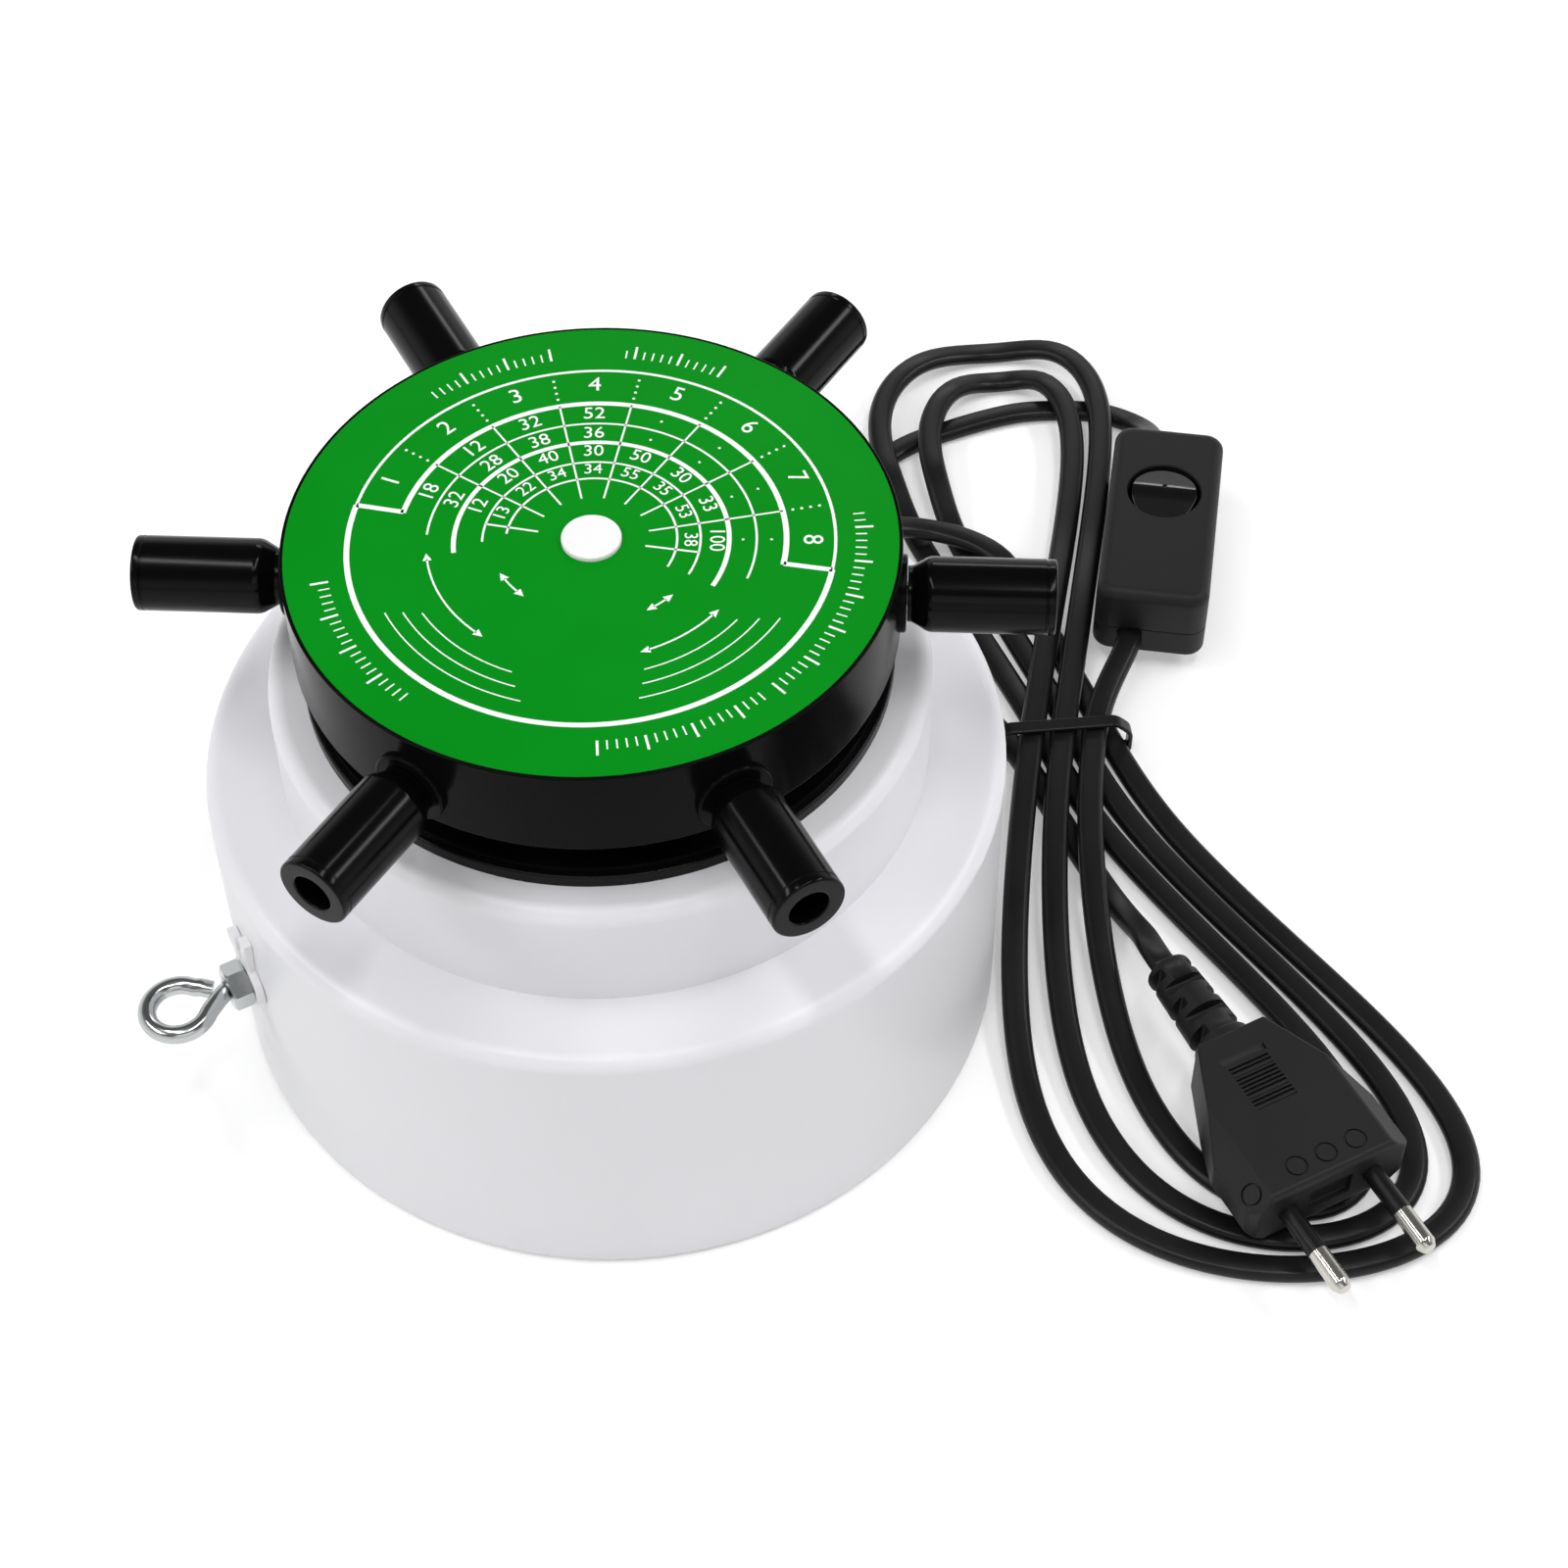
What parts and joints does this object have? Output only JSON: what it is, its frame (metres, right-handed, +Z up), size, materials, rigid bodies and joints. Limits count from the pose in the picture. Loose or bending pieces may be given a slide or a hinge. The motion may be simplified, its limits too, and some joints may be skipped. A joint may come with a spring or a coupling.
{
  "type": "watch winder",
  "caption": "Round motor-driven watch winder: stepped drum base, turning head with radial arms under a printed dial, hanging eye, and a tied mains cord with switch and plug.",
  "frame": {"origin": "on the table under the middle of the drum, on the turning head's axis", "axes": "+Z up along the turning axis; the viewer of the picture stands towards -Y; the cord lies towards +X"},
  "size_m": [0.2513, 0.2664, 0.1186],
  "materials": {
    "white_moulding": "satin moulded white",
    "grey_cover": "matt moulded grey",
    "foot_rubber": "matt black sheet",
    "steel": "zinc plated",
    "motor_zinc": "plated pressed steel",
    "bronze": "sintered bronze",
    "black_disc": "satin black",
    "terminal_ivory": "moulded ivory",
    "contact_brass": "plain brass",
    "cord_sheath": "smooth black sheath",
    "lead_sheath": "smooth blue sheath",
    "relief_rubber": "soft matt black",
    "bright_steel": "bright plated",
    "white_ear": "white",
    "tie_black": "satin black strip",
    "switch_matte": "fine matt black",
    "plug_black": "satin black moulding",
    "sleeve_black": "black sleeve",
    "pin_nickel": "nickel plated",
    "head_black": "satin gloss black",
    "dial_green": "printed green and white",
    "cap_white": "white",
    "spindle_steel": "ground steel",
    "arm_black": "gloss black",
    "rocker_gloss": "gloss black"
  },
  "bodies": {
    "base": {"lower_drum": "white_moulding", "upper_drum": "white_moulding", "bottom_cover": "grey_cover", "base_pad": "foot_rubber", "cover_screws": "steel", "drum_screws": "steel", "motor_can": "motor_zinc", "motor_plate": "motor_zinc", "motor_screws": "steel", "spindle_bush": "bronze", "lower_disc": "black_disc", "disc_screws": "steel", "thrust_washer": "bronze", "terminal_block": "terminal_ivory", "terminal_screws": "contact_brass", "inner_cord": "cord_sheath", "motor_leads": "lead_sheath", "cord_relief": "relief_rubber", "cord_clamp": "terminal_ivory", "clamp_screw": "steel", "eye_bolt": "bright_steel", "eye_nut": "bright_steel", "ear_washer": "white_ear", "inner_washer": "bright_steel", "inner_nut": "bright_steel", "cord_lead": "cord_sheath", "cord_hank": "cord_sheath", "cord_link": "cord_sheath", "cord_tail": "cord_sheath", "cord_tie": "tie_black", "switch_base": "switch_matte", "switch_cover": "switch_matte", "switch_screws": "steel", "switch_contacts": "contact_brass", "plug_body": "plug_black", "plug_relief": "relief_rubber", "pin_sleeves": "sleeve_black", "plug_pins": "pin_nickel"},
    "head": {"head_cup": "head_black", "dial_sheet": "dial_green", "centre_cap": "cap_white", "spindle": "spindle_steel", "grub_screw": "steel", "arm_1": "arm_black", "arm_2": "arm_black", "arm_3": "arm_black", "arm_4": "arm_black", "arm_5": "arm_black", "arm_6": "arm_black", "arm_studs": "steel", "arm_nuts": "steel"},
    "rocker": {"rocker": "rocker_gloss"}
  },
  "joints": [
    {"name": "head_turn", "type": "hinge", "parent": "base", "child": "head", "pos_m": [0, 0, 0.1], "axis": [0, 0, 1], "continuous": true},
    {"name": "rocker_tip", "type": "hinge", "parent": "base", "child": "rocker", "pos_m": [0.12525, 0.09452, 0.0166], "axis": [0.9703, -0.2419, 0], "range_deg": [-16, 0]}
  ]
}
